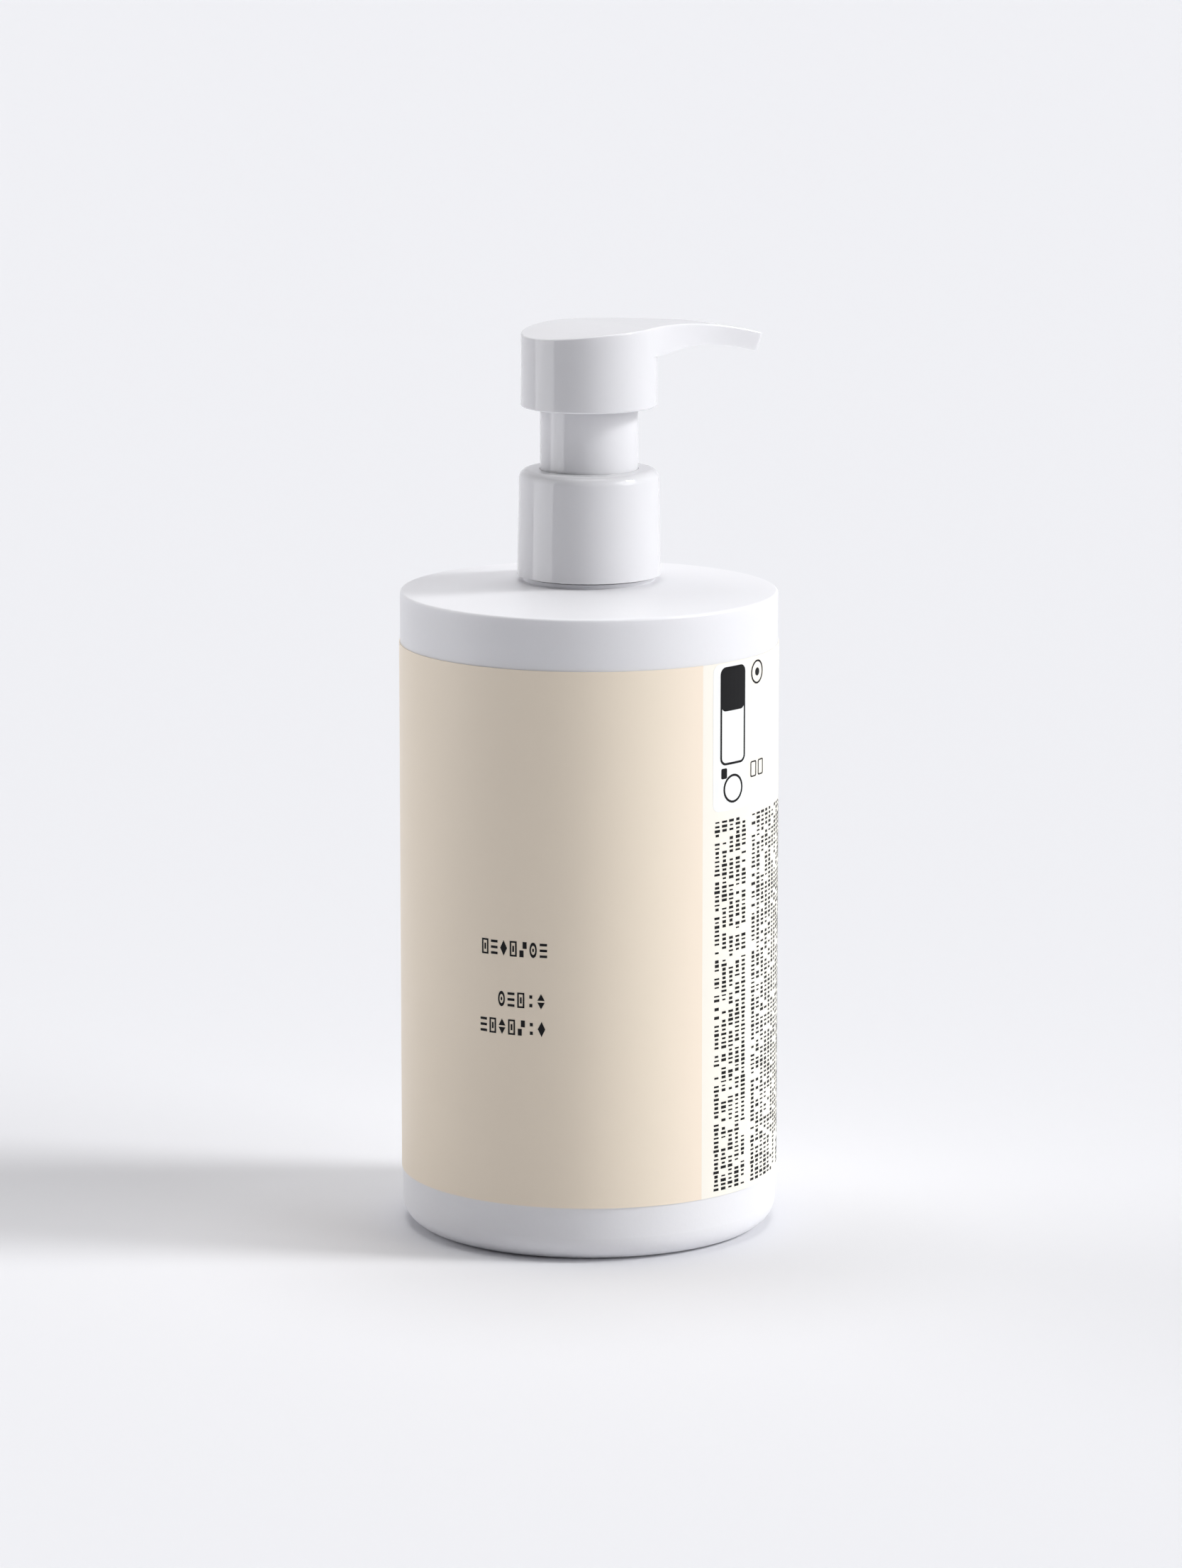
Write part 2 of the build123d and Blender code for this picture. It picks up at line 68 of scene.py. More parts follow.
to_camera = Vector((sin(lens_azimuth), -cos(lens_azimuth), 0))
camera_right = Vector((cos(lens_azimuth), sin(lens_azimuth), 0))
camera = bpy.data.objects.new("camera", bpy.data.cameras.new("camera"))
camera.data.lens = lens_length
camera.data.sensor_width = sensor_width
camera.location = lens_distance * to_camera + Vector((0, 0, lens_height))
aim = aim_aside * camera_right + Vector((0, 0, aim_height))
camera.rotation_euler = (aim - camera.location).to_track_quat("-Z", "Y").to_euler()
bpy.context.scene.collection.objects.link(camera)
bpy.context.scene.camera = camera
bpy.context.scene.view_settings.view_transform = "Standard"


def aimed(name, lamp, bearing, elevation, reach):
    """Stands a lamp facing the bottle's middle; bearings count from the camera to its right."""
    stand = bpy.data.objects.new(name, lamp)
    side = cos(radians(bearing)) * to_camera + sin(radians(bearing)) * camera_right
    away = cos(radians(elevation)) * side + Vector((0, 0, sin(radians(elevation))))
    stand.location = Vector((0, 0, (bottle_low.z + bottle_high.z) / 2)) + reach * away
    stand.rotation_euler = away.to_track_quat("Z", "Y").to_euler()
    stand.visible_camera = False
    bpy.context.scene.collection.objects.link(stand)
    return stand


def broad_lamp(name, bearing, elevation, strength, spread, tint):
    """A lamp so wide and far that it lights the table evenly; spread is its width in degrees."""
    lamp = bpy.data.lights.new(name, "SUN")
    lamp.energy = strength
    lamp.angle = radians(spread)
    lamp.color = tint
    return aimed(name, lamp, bearing, elevation, reach=2.0)


def soft_box(name, bearing, elevation, reach, width, tall, radiance):
    """A rectangular white lamp whose face is as bright as the radiance says."""
    lamp = bpy.data.lights.new(name, "AREA")
    lamp.shape = "RECTANGLE"
    lamp.size = width
    lamp.size_y = tall
    lamp.energy = radiance * pi * width * tall
    return aimed(name, lamp, bearing, elevation, reach)


white_light = (1.0, 1.0, 1.0)
cool_light = (0.99, 1.0, 1.0)
broad_lamp("key_lamp", bearing=84, elevation=36, strength=1.66, spread=14, tint=cool_light)
broad_lamp("overhead_lamp", bearing=180, elevation=80, strength=1.55, spread=40, tint=white_light)
broad_lamp("front_right_lamp", bearing=68, elevation=22, strength=1.18, spread=40, tint=cool_light)
streak_card = soft_box(
    "streak_card", bearing=-81, elevation=22, reach=0.45, width=0.354, tall=0.42, radiance=1.55
)
streak_card.visible_diffuse = False
left_lamp = broad_lamp(
    "left_lamp", bearing=-116, elevation=14, strength=1.3, spread=50, tint=white_light
)
left_lamp.visible_glossy = False

# The studio's walls are bright in reflections, but light the parts very little.
wall_tone = (0.80, 0.80, 0.84, 1)
wall_glow = 0.98
wall_light = 0.03
world = bpy.data.worlds.new("studio_air")
world.use_nodes = True
air = world.node_tree.nodes["Background"]
air.inputs["Color"].default_value = wall_tone
seen_by = world.node_tree.nodes.new("ShaderNodeLightPath")
walls = world.node_tree.nodes.new("ShaderNodeMapRange")
walls.inputs["To Min"].default_value = wall_glow
walls.inputs["To Max"].default_value = wall_light
world.node_tree.links.new(seen_by.outputs["Is Diffuse Ray"], walls.inputs["Value"])
world.node_tree.links.new(walls.outputs["Result"], air.inputs["Strength"])
bpy.context.scene.world = world

table_mesh = bpy.data.meshes.new("table")
table_half = 8.0
table_signs = ((-1, -1), (1, -1), (1, 1), (-1, 1))
table_corners = [(x * table_half, y * table_half, 0) for x, y in table_signs]
table_mesh.from_pydata(table_corners, [], [(0, 1, 2, 3)])
table = bpy.data.objects.new("table", table_mesh)
bpy.context.scene.collection.objects.link(table)
table_paint = bpy.data.materials.new("table_paint")
table_paint.use_nodes = True
paint = table_paint.node_tree.nodes["Principled BSDF"]
paint.inputs["Base Color"].default_value = (0.81, 0.81, 0.84, 1)
paint.inputs["Roughness"].default_value = 0.75
paint.inputs["Specular IOR Level"].default_value = 0.2
table_mesh.materials.append(table_paint)


# ---------------------------------------------------------------------------------------------
# Moulded skin, a finish that all parts share. Steel tools leave a faint ripple, and handling makes
# the gloss and the shade uneven; each part sets its own scale and depth.
# ---------------------------------------------------------------------------------------------

skin = bpy.data.node_groups.new("moulded_skin", "ShaderNodeTree")
for socket_name, value in (
    ("Ripple Scale", 60.0),
    ("Smooth", 0.2),
    ("Rough", 0.3),
    ("Shade Spread", 0.02),
):
    socket = skin.interface.new_socket(socket_name, in_out="INPUT", socket_type="NodeSocketFloat")
    socket.default_value = value
colour_in = skin.interface.new_socket("Colour", in_out="INPUT", socket_type="NodeSocketColor")
colour_in.default_value = (0.9, 0.9, 0.9, 1)
skin.interface.new_socket("Colour", in_out="OUTPUT", socket_type="NodeSocketColor")
skin.interface.new_socket("Roughness", in_out="OUTPUT", socket_type="NodeSocketFloat")
skin.interface.new_socket("Height", in_out="OUTPUT", socket_type="NodeSocketFloat")
skin_in = skin.nodes.new("NodeGroupInput")
skin_out = skin.nodes.new("NodeGroupOutput")
place = skin.nodes.new("ShaderNodeTexCoord")
ripple = skin.nodes.new("ShaderNodeTexNoise")
ripple.inputs["Detail"].default_value = 2.0
cloud = skin.nodes.new("ShaderNodeTexNoise")
cloud.inputs["Scale"].default_value = 45.0
cloud.inputs["Detail"].default_value = 4.0
gloss_range = skin.nodes.new("ShaderNodeMapRange")
shade_range = skin.nodes.new("ShaderNodeMapRange")
darkest = skin.nodes.new("ShaderNodeMath")
darkest.operation = "SUBTRACT"
darkest.inputs[0].default_value = 1.0
tone = skin.nodes.new("ShaderNodeVectorMath")
tone.operation = "SCALE"
skin.links.new(place.outputs["Object"], ripple.inputs["Vector"])
skin.links.new(place.outputs["Object"], cloud.inputs["Vector"])
skin.links.new(skin_in.outputs["Ripple Scale"], ripple.inputs["Scale"])
skin.links.new(cloud.outputs["Fac"], gloss_range.inputs["Value"])
skin.links.new(skin_in.outputs["Smooth"], gloss_range.inputs["To Min"])
skin.links.new(skin_in.outputs["Rough"], gloss_range.inputs["To Max"])
skin.links.new(skin_in.outputs["Shade Spread"], darkest.inputs[1])
skin.links.new(cloud.outputs["Fac"], shade_range.inputs["Value"])
skin.links.new(darkest.outputs[0], shade_range.inputs["To Min"])
skin.links.new(skin_in.outputs["Colour"], tone.inputs[0])
skin.links.new(shade_range.outputs["Result"], tone.inputs["Scale"])
skin.links.new(tone.outputs["Vector"], skin_out.inputs["Colour"])
skin.links.new(gloss_range.outputs["Result"], skin_out.inputs["Roughness"])
skin.links.new(ripple.outputs["Fac"], skin_out.inputs["Height"])


def moulded(name, colour, smooth, rough, ripple_scale, bump_mm=0.02, shade_spread=0.02):
    """A material with the moulded skin; returns it with its shader and its skin node."""
    material = bpy.data.materials.new(name)
    material.use_nodes = True
    nodes, links = material.node_tree.nodes, material.node_tree.links
    shader = nodes["Principled BSDF"]
    surface = nodes.new("ShaderNodeGroup")
    surface.node_tree = skin
    surface.inputs["Ripple Scale"].default_value = ripple_scale
    surface.inputs["Smooth"].default_value = smooth
    surface.inputs["Rough"].default_value = rough
    surface.inputs["Shade Spread"].default_value = shade_spread
    surface.inputs["Colour"].default_value = (*colour, 1)
    bump = nodes.new("ShaderNodeBump")
    bump.inputs["Distance"].default_value = bump_mm / 1000
    links.new(surface.outputs["Colour"], shader.inputs["Base Color"])
    links.new(surface.outputs["Roughness"], shader.inputs["Roughness"])
    links.new(surface.outputs["Height"], bump.inputs["Height"])
    links.new(bump.outputs["Normal"], shader.inputs["Normal"])
    return material, shader, surface


def dress(node, material):
    """Gives a part of the assembly its finish."""
    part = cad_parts[node]
    part.data.materials.clear()
    part.data.materials.append(material)
    for face in part.data.polygons:
        face.material_index = 0
    return part


# ---------------------------------------------------------------------------------------------
# Bottle. Blow-moulded white polyethylene, satin, with a shallow cone for a shoulder. The two halves
# of the mould pinch the soft tube shut, which leaves a low bar across the hollow under the base.
# ---------------------------------------------------------------------------------------------

bottle_white = (0.845, 0.84, 0.868)
bottle_plastic, bottle_shader, _ = moulded("bottle_polyethylene", bottle_white, 0.34, 0.42, 900)
bottle_shader.inputs["IOR"].default_value = 1.5
bottle_shader.inputs["Subsurface Weight"].default_value = 0.35
bottle_shader.inputs["Subsurface Radius"].default_value = (1.0, 0.95, 0.95)
bottle_shader.inputs["Subsurface Scale"].default_value = 0.0015
dress("bottle", bottle_plastic)


def solid(name, mesh, material, body):
    """Turns a finished bmesh into a piece that rides on a body and fills a material slot."""
    bmesh.ops.recalc_face_normals(mesh, faces=mesh.faces)
    # Cut and extruded faces come in no fixed order, so they are put in order of their places.
    vertices = sorted(mesh.verts, key=lambda vertex: tuple(vertex.co))
    number = {vertex: place for place, vertex in enumerate(vertices)}
    faces = []
    for face in mesh.faces:
        around = [number[vertex] for vertex in face.verts]
        first = around.index(min(around))
        faces.append(around[first:] + around[:first])
    data = bpy.data.meshes.new(name)
    data.from_pydata([vertex.co[:] for vertex in vertices], [], sorted(faces))
    mesh.free()
    data.materials.append(material)
    piece = bpy.data.objects.new(name, data)
    bpy.context.scene.collection.objects.link(piece)
    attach(piece, body)
    return piece


def solid_bar(name, path, width, height, material, body):
    """A low bar with bevelled long edges along a path of points, closed at both ends."""
    bar = bmesh.new()
    rings = []
    for index, point in enumerate(path):
        ahead = (path[min(index + 1, len(path) - 1)] - path[max(index - 1, 0)]).normalized()
        across = ahead.cross(Vector((0, 0, 1))).normalized()
        up = across.cross(ahead).normalized()
        profile = ((-0.5, -0.5), (0.5, -0.5), (0.5, 0.2), (0.25, 0.5), (-0.25, 0.5), (-0.5, 0.2))
        rings.append(
            [bar.verts.new(point + a * width * across + b * height * up) for a, b in profile]
        )
    for near, far in zip(rings, rings[1:]):
        for side in range(len(near)):
            other = (side + 1) % len(near)
            bar.faces.new((near[side], near[other], far[other], far[side]))
    bar.faces.new(rings[0])
    bar.faces.new(rings[-1])
    return solid(name, bar, material, body)


# The bar hangs down from the base, so its height counts downwards.
pinch_half_length = 0.016
pinch_lift = 0.0017
pinch_width = 0.0009
pinch_height = -0.0006
pinch_path = [Vector((x * pinch_half_length, 0, pinch_lift)) for x in (-1, -0.9, 0, 0.9, 1)]
solid_bar(
    "base_pinch_line", pinch_path, pinch_width, pinch_height,
    bottle_plastic, "bottle",
)


# ---------------------------------------------------------------------------------------------
# Label. One printed satin film wrapped once round the body: a beige front panel, a lighter cream
# back panel and a glued overlap at the back. The print is a thin layer of ink on the film.
# ---------------------------------------------------------------------------------------------

label_low, label_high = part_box("wrap_label")
label_radius = label_high.x
front_bearing = radians(208)
front_half_width = radians(68)
beige = (0.935, 0.82, 0.67)
beige_at_edge = (0.935, 0.805, 0.665)
cream = (0.95, 0.91, 0.825)
fade_width = 0.25

label_film, _, label_skin = moulded("printed_film", beige, 0.40, 0.48, 1500, 0.004)
label_nodes, label_links = label_film.node_tree.nodes, label_film.node_tree.links
label_place = label_nodes.new("ShaderNodeTexCoord")
flatten = label_nodes.new("ShaderNodeVectorMath")
flatten.operation = "MULTIPLY"
flatten.inputs[1].default_value = (1, 1, 0)
outward = label_nodes.new("ShaderNodeVectorMath")
outward.operation = "NORMALIZE"
facing = label_nodes.new("ShaderNodeVectorMath")
facing.operation = "DOT_PRODUCT"
facing.inputs[1].default_value = (cos(front_bearing), sin(front_bearing), 0)
on_front = label_nodes.new("ShaderNodeMath")
on_front.operation = "GREATER_THAN"
on_front.inputs[1].default_value = cos(front_half_width)
near_edge = label_nodes.new("ShaderNodeMapRange")
near_edge.inputs["From Min"].default_value = cos(front_half_width)
near_edge.inputs["From Max"].default_value = cos(front_half_width) + fade_width
panel_tone = label_nodes.new("ShaderNodeMix")
panel_tone.data_type = "RGBA"
panel_tone.inputs["A"].default_value = (*beige_at_edge, 1)
panel_tone.inputs["B"].default_value = (*beige, 1)
panels = label_nodes.new("ShaderNodeMix")
panels.data_type = "RGBA"
panels.inputs["A"].default_value = (*cream, 1)
label_links.new(label_place.outputs["Object"], flatten.inputs[0])
label_links.new(flatten.outputs["Vector"], outward.inputs[0])
label_links.new(outward.outputs["Vector"], facing.inputs[0])
label_links.new(facing.outputs["Value"], on_front.inputs[0])
label_links.new(facing.outputs["Value"], near_edge.inputs["Value"])
label_links.new(near_edge.outputs["Result"], panel_tone.inputs["Factor"])
label_links.new(on_front.outputs["Value"], panels.inputs["Factor"])
label_links.new(panel_tone.outputs["Result"], panels.inputs["B"])
label_links.new(panels.outputs["Result"], label_skin.inputs["Colour"])
dress("wrap_label", label_film)

white_ink, _, _ = moulded("white_ink", (0.92, 0.92, 0.915), 0.36, 0.44, 2500, 0.003)
black_ink, black_shader, _ = moulded("black_ink", (0.010, 0.010, 0.011), 0.40, 0.50, 2500, 0.003)
black_shader.inputs["Specular IOR Level"].default_value = 0.1
mm = 0.001
ink_step = 1.2 * mm
sliver = 0.004 * mm


def printed(name, shapes, material, lift, thickness=0.03 * mm):
    """Prints flat shapes on the label.

    A shape is one loop of points, or two for a hollow one. A point is its arc from the front
    panel's middle and its height. The lift is the gap between the film and the ink's back.
    """
    ink = bmesh.new()
    for shape in shapes:
        loops = [[ink.verts.new((arc, 0, height)) for arc, height in loop] for loop in shape]
        if len(loops) == 1:
            ink.faces.new(loops[0])
        else:
            for index in range(len(loops[0])):
                following = (index + 1) % len(loops[0])
                outer, inner = loops
                ink.faces.new((outer[index], outer[following], inner[following], inner[index]))
    arcs = [vertex.co.x for vertex in ink.verts]
    for step in range(int(min(arcs) / ink_step) - 1, int(max(arcs) / ink_step) + 2):
        everything = list(ink.verts) + list(ink.edges) + list(ink.faces)
        cut = (step * ink_step, 0, 0)
        bmesh.ops.bisect_plane(ink, geom=everything, plane_co=cut, plane_no=(1, 0, 0))
    bmesh.ops.dissolve_degenerate(ink, edges=ink.edges, dist=sliver)
    bmesh.ops.triangulate(ink, faces=ink.faces)
    raised = bmesh.ops.extrude_face_region(ink, geom=list(ink.faces), use_keep_orig=True)
    for vertex in raised["geom"]:
        if isinstance(vertex, bmesh.types.BMVert):
            vertex.co.y = thickness
    for vertex in ink.verts:
        bearing = front_bearing + vertex.co.x / label_radius
        reach = label_radius + lift + vertex.co.y
        vertex.co = Vector((reach * cos(bearing), reach * sin(bearing), vertex.co.z))
    return solid(name, ink, material, "bottle")


def rounded(left, low, right, high, corner, points=6):
    """A rectangle with rounded corners, as one loop of points."""
    loop = []
    for middle_x, middle_z, start in (
        (right - corner, high - corner, 0),
        (left + corner, high - corner, 90),
        (left + corner, low + corner, 180),
        (right - corner, low + corner, 270),
    ):
        for index in range(points + 1):
            turn = radians(start + 90 * index / points)
            loop.append((middle_x + corner * cos(turn), middle_z + corner * sin(turn)))
    return loop


def disc(arc, height, radius, points=32):
    """A circle, as one loop of points."""
    turns = [2 * pi * index / points for index in range(points)]
    return [(arc + radius * cos(turn), height + radius * sin(turn)) for turn in turns]


def slab(left, low, right, high):
    """A plain rectangle, as one loop of points."""
    return [(left, low), (right, low), (right, high), (left, high)]


# Three rows of plain ornaments stand at the right of the front panel. Each is drawn in a square of
# side 1, which is stretched to the mark's width and height.
mark_pitch = 2.1 * mm
mark_width = 1.5 * mm
mark_height = 3.1 * mm
ornaments = {
    "tile": ([slab(0, 0, 1, 1), slab(0.22, 0.11, 0.78, 0.89)], [slab(0.38, 0.3, 0.62, 0.7)]),
    "diamond": ([[(0.5, 0), (1, 0.5), (0.5, 1), (0, 0.5)]],),
    "bars": ([slab(0, 0.04, 1, 0.2)], [slab(0, 0.42, 1, 0.58)], [slab(0, 0.8, 1, 0.96)]),
    "eye": ([disc(0.5, 0.5, 0.5), disc(0.5, 0.5, 0.3)], [disc(0.5, 0.5, 0.12)]),
    "kite": ([[(0, 0.56), (1, 0.56), (0.5, 1)]], [[(0, 0.44), (0.5, 0), (1, 0.44)]]),
    "steps": ([slab(0, 0, 0.56, 0.44)], [slab(0.44, 0.56, 1, 1)]),
    "studs": ([slab(0.3, 0.1, 0.7, 0.32)], [slab(0.3, 0.66, 0.7, 0.88)]),
}
ornament_rows = (
    (13.0 * mm, 61.9 * mm, ("tile", "bars", "diamond", "tile", "steps", "eye", "bars")),
    (12.5 * mm, 51.6 * mm, ("eye", "bars", "tile", "studs", "kite")),
    (12.6 * mm, 46.0 * mm, ("bars", "tile", "kite", "tile", "steps", "studs", "diamond")),
)
front_marks = []
for right_edge, foot, names in ornament_rows:
    for place_back, name in enumerate(reversed(names)):
        left = right_edge - mark_width - place_back * mark_pitch
        for shape in ornaments[name]:
            mark = []
            for loop in shape:
                mark.append([(left + u * mark_width, foot + v * mark_height) for u, v in loop])
            front_marks.append(mark)
printed("front_marks", front_marks, black_ink, lift=0)

# A white block at the seam of the two panels holds a framed emblem with a tab and a ring below it.
# A target and two small boxes stand beside the block.


def outline(left, low, right, high, line, corner, inner_corner):
    """A rounded rectangle drawn as a line, as a hollow shape."""
    inside = (left + line, low + line, right - line, high - line)
    return [rounded(left, low, right, high, corner), rounded(*inside, inner_corner)]


def ring(arc, height, radius, inner_radius):
    """A circle drawn as a line, as a hollow shape."""
    return [disc(arc, height, radius), disc(arc, height, inner_radius)]


block_left, block_right = 47.9 * mm, 58.3 * mm
block_low, block_high = 89.6 * mm, label_high.z - 0.2 * mm
block_corner = 1.6 * mm
block_loop = rounded(block_left, block_low, block_right, block_high, block_corner)
printed("white_block", [[block_loop]], white_ink, lift=0)

frame_left, frame_right = block_left + 1.9 * mm, block_right - 1.0 * mm
frame_low, frame_high = block_low + 9.2 * mm, block_high - 0.7 * mm
frame_line = 0.45 * mm
frame_corner, frame_inner_corner = 1.5 * mm, 1.1 * mm
fill_margin, fill_corner = 0.3 * mm, 1.2 * mm
fill_foot = frame_low + 0.55 * (frame_high - frame_low)
fill = (frame_left + fill_margin, fill_foot, frame_right - fill_margin, frame_high - fill_margin)
tab = (frame_left + 0.3 * mm, frame_low - 2.7 * mm, frame_left + 1.9 * mm, frame_low - 0.6 * mm)
tab_corner = 0.3 * mm
ring_arc, ring_height = (block_left + block_right) / 2 + 0.5 * mm, block_low + 4.3 * mm
ring_radius, ring_inner_radius = 2.9 * mm, 2.45 * mm
target_arc, target_height = block_right + 3.6 * mm, 116.2 * mm
target_radius, target_inner_radius, target_eye = 2.4 * mm, 2.05 * mm, 0.8 * mm
box_low, box_high = 95.2 * mm, 98.4 * mm
box_half_width, box_line = 1.1 * mm, 0.25 * mm
box_corner, box_inner_corner = 0.4 * mm, 0.2 * mm

frame_sides = (frame_left, frame_low, frame_right, frame_high)
emblem = [
    outline(*frame_sides, frame_line, frame_corner, frame_inner_corner),
    [rounded(*fill, fill_corner)],
    [rounded(*tab, tab_corner)],
    ring(ring_arc, ring_height, ring_radius, ring_inner_radius),
    ring(target_arc, target_height, target_radius, target_inner_radius),
    [disc(target_arc, target_height, target_eye)],
]
for box_arc in (target_arc - 1.4 * mm, target_arc + 1.6 * mm):
    box_sides = (box_arc - box_half_width, box_low, box_arc + box_half_width, box_high)
    emblem.append(outline(*box_sides, box_line, box_corner, box_inner_corner))
printed("emblem", emblem, black_ink, lift=0.03 * mm)

# Fine print runs up the back panel in upright rows of small ticks. The ticks differ in size, some
# are left out, and some rows start further up.
fine_print = bpy.data.node_groups.new("fine_print", "GeometryNodeTree")
for socket_name, kind in (
    ("Rows", "Int"),
    ("Ticks", "Int"),
    ("First Bearing", "Float"),
    ("Row Pitch", "Float"),
    ("Foot", "Float"),
    ("Tick Pitch", "Float"),
    ("Radius", "Float"),
    ("Tick Size", "Vector"),
    ("Gap Share", "Float"),
    ("Seed", "Int"),
    ("Ink", "Material"),
):
    fine_print.interface.new_socket(socket_name, in_out="INPUT", socket_type="NodeSocket" + kind)
fine_print.interface.new_socket("Print", in_out="OUTPUT", socket_type="NodeSocketGeometry")


def wired(tree, kind, operation=None, **inputs):
    """Adds a node and wires or sets its inputs, which are named by socket or numbered as in_0."""
    node = tree.nodes.new(kind)
    if operation:
        node.operation = operation
    for key, value in inputs.items():
        place = int(key[3:]) if key.startswith("in_") else key.replace("_", " ")
        socket = node.inputs[place]
        if isinstance(value, bpy.types.NodeSocket):
            tree.links.new(value, socket)
        else:
            socket.default_value = value
    return node


def maths(tree, operation, *values):
    """A maths node with its values in order; returns its result."""
    numbered = {f"in_{place}": value for place, value in enumerate(values)}
    return wired(tree, "ShaderNodeMath", operation, **numbered).outputs[0]


shortest_row, longest_row = 0.45, 1.9
least_tall, tall_spread, tall_seed = 0.6, 0.45, 7
least_wide, wide_spread, wide_seed = 0.55, 0.7, 11

asked = fine_print.nodes.new("NodeGroupInput").outputs
index = fine_print.nodes.new("GeometryNodeInputIndex").outputs[0]
count = maths(fine_print, "MULTIPLY", asked["Rows"], asked["Ticks"])
row = maths(fine_print, "FLOOR", maths(fine_print, "DIVIDE", index, asked["Ticks"]))
tick = maths(fine_print, "MODULO", index, asked["Ticks"])
bearing = maths(fine_print, "MULTIPLY_ADD", row, asked["Row Pitch"], asked["First Bearing"])
height = maths(fine_print, "MULTIPLY_ADD", tick, asked["Tick Pitch"], asked["Foot"])
place_x = maths(fine_print, "MULTIPLY", maths(fine_print, "COSINE", bearing), asked["Radius"])
place_y = maths(fine_print, "MULTIPLY", maths(fine_print, "SINE", bearing), asked["Radius"])
spot = wired(fine_print, "ShaderNodeCombineXYZ", in_0=place_x, in_1=place_y, in_2=height).outputs[0]
points = wired(fine_print, "GeometryNodePoints", Count=count, Position=spot).outputs[0]

gap_draw = wired(fine_print, "FunctionNodeRandomValue", ID=index, Seed=asked["Seed"])
inked = wired(
    fine_print, "FunctionNodeCompare", "GREATER_THAN", in_0=gap_draw.outputs["Value"],
    in_1=asked["Gap Share"],
).outputs[0]
row_draw = wired(fine_print, "FunctionNodeRandomValue", ID=row, Seed=asked["Seed"])
row_draw.inputs[2].default_value = shortest_row
row_draw.inputs[3].default_value = longest_row
row_ticks = maths(fine_print, "MULTIPLY", row_draw.outputs["Value"], asked["Ticks"])
ticks_from_top = maths(fine_print, "SUBTRACT", asked["Ticks"], tick)
in_row = wired(
    fine_print, "FunctionNodeCompare", "LESS_THAN", in_0=ticks_from_top, in_1=row_ticks
).outputs[0]
both = fine_print.nodes.new("FunctionNodeBooleanMath")
fine_print.links.new(inked, both.inputs[0])
fine_print.links.new(in_row, both.inputs[1])

block = wired(fine_print, "GeometryNodeMeshCube", Size=asked["Tick Size"]).outputs[0]
turn = wired(fine_print, "ShaderNodeCombineXYZ", in_2=bearing).outputs[0]
tall_draw = wired(fine_print, "FunctionNodeRandomValue", ID=index, Seed=tall_seed)
tall = maths(fine_print, "MULTIPLY_ADD", tall_draw.outputs["Value"], tall_spread, least_tall)
wide_draw = wired(fine_print, "FunctionNodeRandomValue", ID=index, Seed=wide_seed)
wide = maths(fine_print, "MULTIPLY_ADD", wide_draw.outputs["Value"], wide_spread, least_wide)
growth = wired(fine_print, "ShaderNodeCombineXYZ", in_0=1.0, in_1=tall, in_2=wide).outputs[0]
stamped = wired(
    fine_print, "GeometryNodeInstanceOnPoints", Points=points, Selection=both.outputs[0],
    Instance=block, Rotation=turn, Scale=growth,
).outputs[0]
realised = wired(fine_print, "GeometryNodeRealizeInstances", in_0=stamped).outputs[0]
inked_ticks = wired(
    fine_print, "GeometryNodeSetMaterial", Geometry=realised, Material=asked["Ink"]
).outputs[0]
wired(fine_print, "NodeGroupOutput", in_0=inked_ticks)


def grown(name, tree, settings, body):
    """Runs a node tree, keeps its result as a plain mesh, and lets it ride on a body."""
    piece = bpy.data.objects.new(name, bpy.data.meshes.new(name + "_seed"))
    bpy.context.scene.collection.objects.link(piece)
    modifier = piece.modifiers.new("grow", "NODES")
    modifier.node_group = tree
    for item in tree.interface.items_tree:
        if item.item_type == "SOCKET" and item.in_out == "INPUT":
            modifier[item.identifier] = settings[item.name]
    evaluated = piece.evaluated_get(bpy.context.evaluated_depsgraph_get())
    made = bpy.data.meshes.new_from_object(evaluated)
    finish = [material for material in made.materials if material]
    made.materials.clear()
    made.materials.append(finish[0])
    made.polygons.foreach_set("material_index", [0] * len(made.polygons))
    piece.modifiers.clear()
    piece.data = made
    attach(piece, body)
    return piece


for name, rows_here, first_arc, seed in (
    ("fine_print_left", 5, 49.1 * mm, 3),
    ("fine_print_right", 24, 60.7 * mm, 5),
):
    grown(
        name,
        fine_print,
        {
            "Rows": rows_here,
            "Ticks": 86,
            "First Bearing": front_bearing + first_arc / label_radius,
            "Row Pitch": radians(3.0),
            "Foot": label_low.z + 1.4 * mm,
            "Tick Pitch": 0.88 * mm,
            "Radius": label_radius + 0.012 * mm,
            "Tick Size": (0.03 * mm, 1.4 * mm, 0.5 * mm),
            "Gap Share": 0.17,
            "Seed": seed,
            "Ink": black_ink,
        },
        "bottle",
    )

# The film's free end lies over its start at the back.
overlap_arc = pi * label_radius * 0.93
overlap_width = 5.0 * mm
overlap_corner = 0.4 * mm
film_thickness = 0.06 * mm
overlap = rounded(
    overlap_arc, label_low.z, overlap_arc + overlap_width, label_high.z, overlap_corner
)
printed("label_overlap", [[overlap]], label_film, lift=0, thickness=film_thickness)


# ---------------------------------------------------------------------------------------------
# Pump. Gloss white polypropylene, injection moulded: screw collar, guide sleeve, head, the stem
# pressed into it and the stem's plug. The collar screws down on the bottle's neck.
# ---------------------------------------------------------------------------------------------

pump_white = (0.795, 0.79, 0.815)
pump_plastic, pump_shader, _ = moulded("pump_polypropylene", pump_white, 0.03, 0.06, 260, 0.003)
pump_shader.inputs["IOR"].default_value = 1.5
pump_shader.inputs["Subsurface Weight"].default_value = 0.25
pump_shader.inputs["Subsurface Radius"].default_value = (1.0, 0.95, 0.95)
pump_shader.inputs["Subsurface Scale"].default_value = 0.0012
for node in ("screw_collar", "guide_sleeve", "pump_head", "pump_stem", "stem_plug"):
    dress(node, pump_plastic)


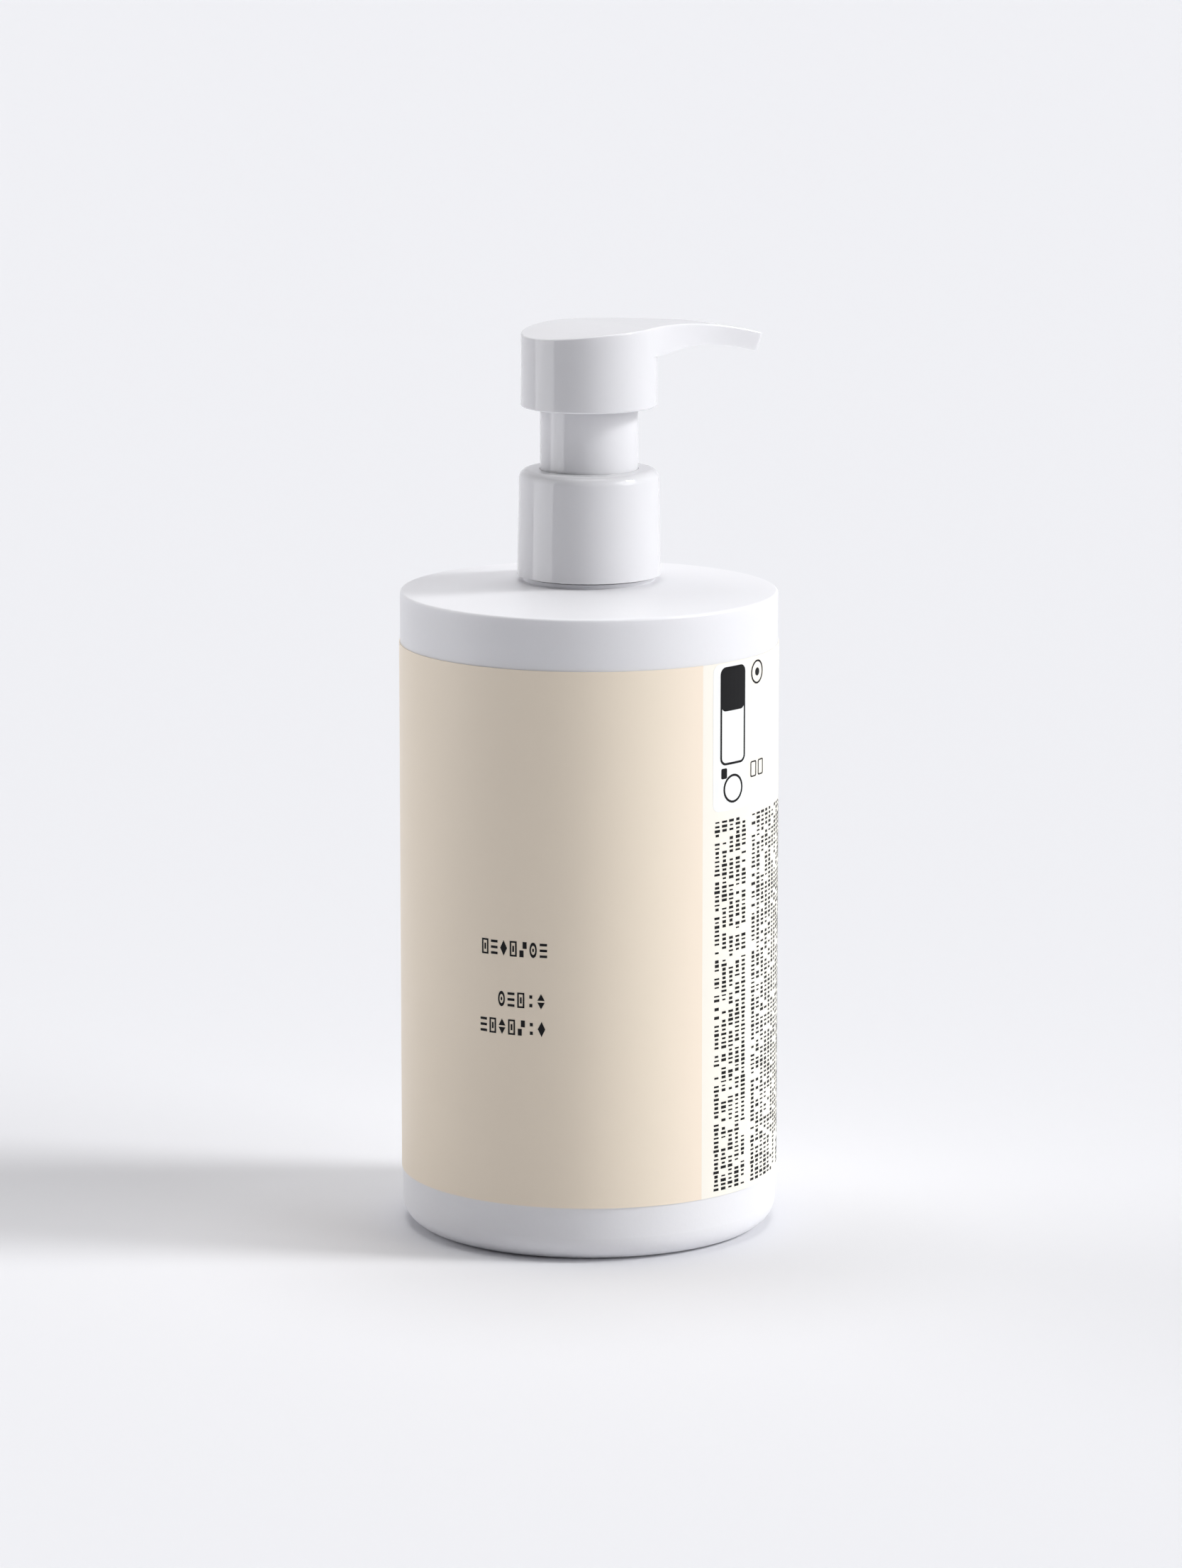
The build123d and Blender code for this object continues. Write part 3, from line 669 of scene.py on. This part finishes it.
# ---------------------------------------------------------------------------------------------
# Works inside the pump: the housing and piston in natural polypropylene, a foam gasket on the rim,
# a polyethylene dip tube, and a steel ball that lifts off its seat to let the liquid in.
# ---------------------------------------------------------------------------------------------

plastic, steel = 0.0, 1.0
for node, finish_name, metallic, colour, *skin_values in (
    (
        "pump_housing", "natural_polypropylene", plastic,
        (0.74, 0.75, 0.73), 0.22, 0.32, 500, 0.01, 0.05,
    ),
    ("piston", "piston_polyethylene", plastic, (0.80, 0.81, 0.80), 0.28, 0.40, 700, 0.01, 0.04),
    ("dip_tube", "tube_polyethylene", plastic, (0.70, 0.72, 0.70), 0.30, 0.42, 350, 0.015, 0.06),
    ("neck_gasket", "rim_foam", plastic, (0.88, 0.88, 0.86), 0.75, 0.9, 2600, 0.12, 0.10),
    ("inlet_ball", "polished_ball", steel, (0.62, 0.62, 0.63), 0.12, 0.22, 1800, 0.004, 0.08),
):
    finish, finish_shader, _ = moulded(finish_name, colour, *skin_values)
    finish_shader.inputs["Metallic"].default_value = metallic
    dress(node, finish)


# ---------------------------------------------------------------------------------------------
# Return spring. Bright drawn steel wire, wound as a plain helix, between the sleeve's floor and the
# head. The real spring gets shorter as the head is pressed; here it is one fixed coil on the pump.
# ---------------------------------------------------------------------------------------------

wire_grey = (0.60, 0.60, 0.61)
spring_steel, spring_shader, _ = moulded("drawn_wire", wire_grey, 0.18, 0.30, 3200, 0.01, 0.10)
spring_shader.inputs["Metallic"].default_value = 1.0
dress("return_spring", spring_steel)
spring_low, spring_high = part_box("return_spring")
wire_radius = 0.55 * mm
end_margin = 1.1 * wire_radius

helix = bpy.data.node_groups.new("wound_wire", "GeometryNodeTree")
for socket_name, kind in (
    ("Turns", "Float"),
    ("Coil Radius", "Float"),
    ("Wire Radius", "Float"),
    ("Length", "Float"),
    ("Foot", "Float"),
    ("Finish", "Material"),
):
    helix.interface.new_socket(socket_name, in_out="INPUT", socket_type="NodeSocket" + kind)
helix.interface.new_socket("Wire", in_out="OUTPUT", socket_type="NodeSocketGeometry")
wanted = helix.nodes.new("NodeGroupInput").outputs
winding = wired(
    helix, "GeometryNodeCurveSpiral", Resolution=28, Rotations=wanted["Turns"],
    Start_Radius=wanted["Coil Radius"], End_Radius=wanted["Coil Radius"], Height=wanted["Length"],
).outputs[0]
section = wired(
    helix, "GeometryNodeCurvePrimitiveCircle", Resolution=10, Radius=wanted["Wire Radius"]
).outputs[0]
wire = wired(
    helix, "GeometryNodeCurveToMesh", Curve=winding, Profile_Curve=section, Fill_Caps=True
).outputs[0]
lift = wired(helix, "ShaderNodeCombineXYZ", in_2=wanted["Foot"]).outputs[0]
raised = wired(helix, "GeometryNodeTransform", Geometry=wire, Translation=lift).outputs[0]
smooth_wire = wired(helix, "GeometryNodeSetShadeSmooth", Geometry=raised).outputs[0]
real_wire = wired(helix, "GeometryNodeRealizeInstances", in_0=smooth_wire).outputs[0]
finished = wired(
    helix, "GeometryNodeSetMaterial", Geometry=real_wire, Material=wanted["Finish"]
).outputs[0]
wired(helix, "NodeGroupOutput", in_0=finished)

spring = grown(
    "spring_wire",
    helix,
    {
        "Turns": 8.0,
        "Coil Radius": spring_high.x - wire_radius,
        "Wire Radius": wire_radius,
        "Length": spring_high.z - spring_low.z - 2 * end_margin,
        "Foot": spring_low.z + end_margin,
        "Finish": spring_steel,
    },
    "pump",
)
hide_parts("return_spring")
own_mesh(spring)
